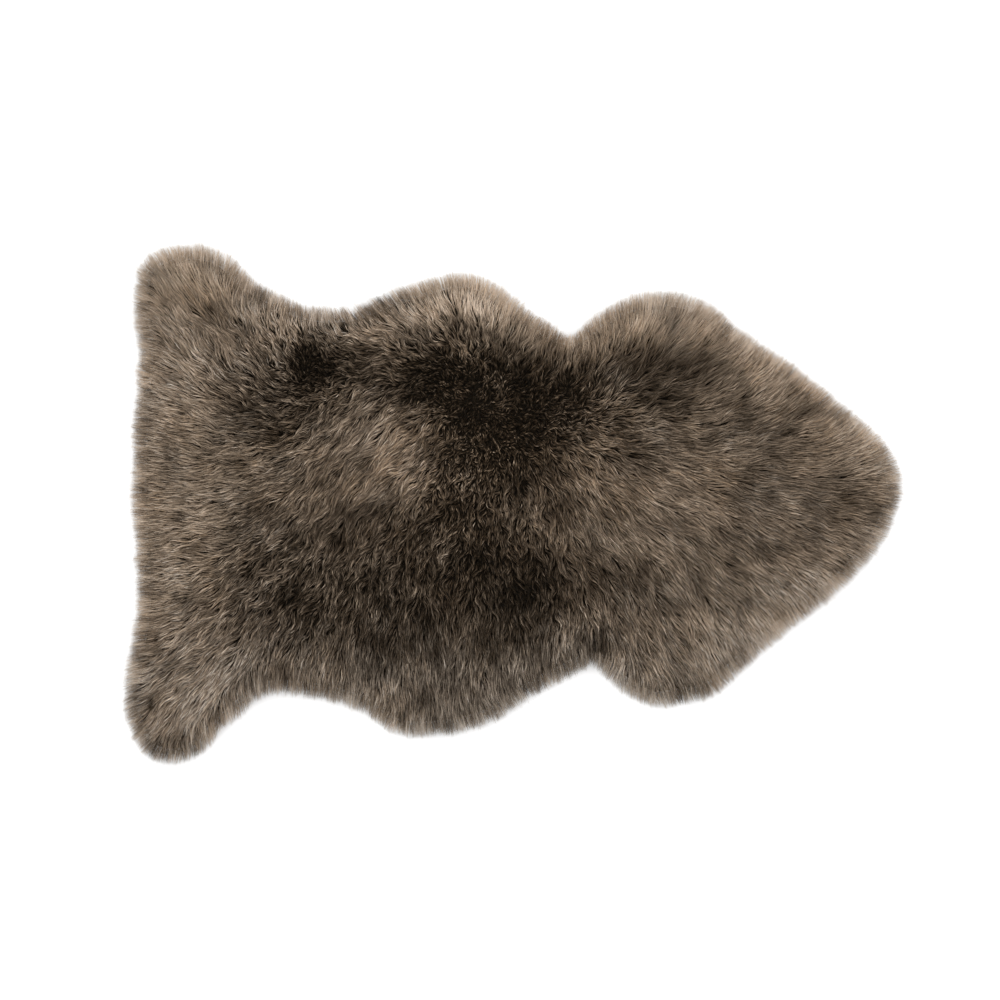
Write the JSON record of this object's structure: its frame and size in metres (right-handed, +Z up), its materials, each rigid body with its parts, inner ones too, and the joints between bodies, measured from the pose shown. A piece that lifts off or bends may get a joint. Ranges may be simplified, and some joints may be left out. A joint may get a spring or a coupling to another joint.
{
  "type": "sheepskin rug",
  "caption": "Long-wool sheepskin rug in the outline of a whole pelt, lying flat on the floor with its combed pile up and pointed locks of wool all round the rim.",
  "frame": {"origin": "on the floor, under the middle of the rug's box", "axes": "+X from the rump towards the neck, +Y from the belly side to the back side, which is up in the picture, +Z up out of the pile"},
  "size_m": [0.9566, 0.6376, 0.0532],
  "materials": {
    "wool": "combed long wool, taupe, matt"
  },
  "bodies": {
    "root": {"sheepskin": "wool"}
  },
  "joints": []
}
